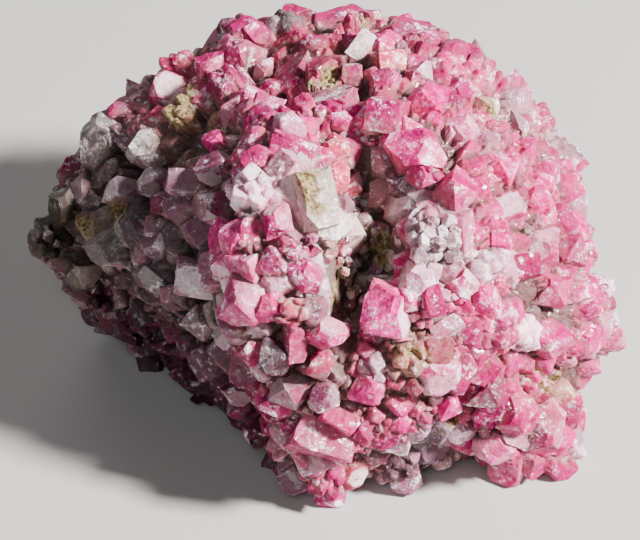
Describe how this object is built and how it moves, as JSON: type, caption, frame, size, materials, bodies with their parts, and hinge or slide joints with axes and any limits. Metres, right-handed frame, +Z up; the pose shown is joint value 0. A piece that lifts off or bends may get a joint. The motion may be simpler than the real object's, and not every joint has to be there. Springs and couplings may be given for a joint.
{
  "type": "spinel crystal specimen",
  "caption": "Broken lump of rock crusted all over with grown-together pink spinel crystals, with a ridged front, a ledge and a flat underside to stand on.",
  "frame": {"origin": "a point of the flat underside, below the middle of the show face", "axes": "+Z up; +X to the right as the show face is looked at; -Y to the front, where the show face looks, up at 42 degrees"},
  "size_m": [0.0466, 0.0369, 0.0282],
  "materials": {
    "pink_spinel": "frosted and glassy crystal faces, translucent pink"
  },
  "bodies": {
    "root": {"spinel_specimen": "pink_spinel"}
  },
  "joints": []
}
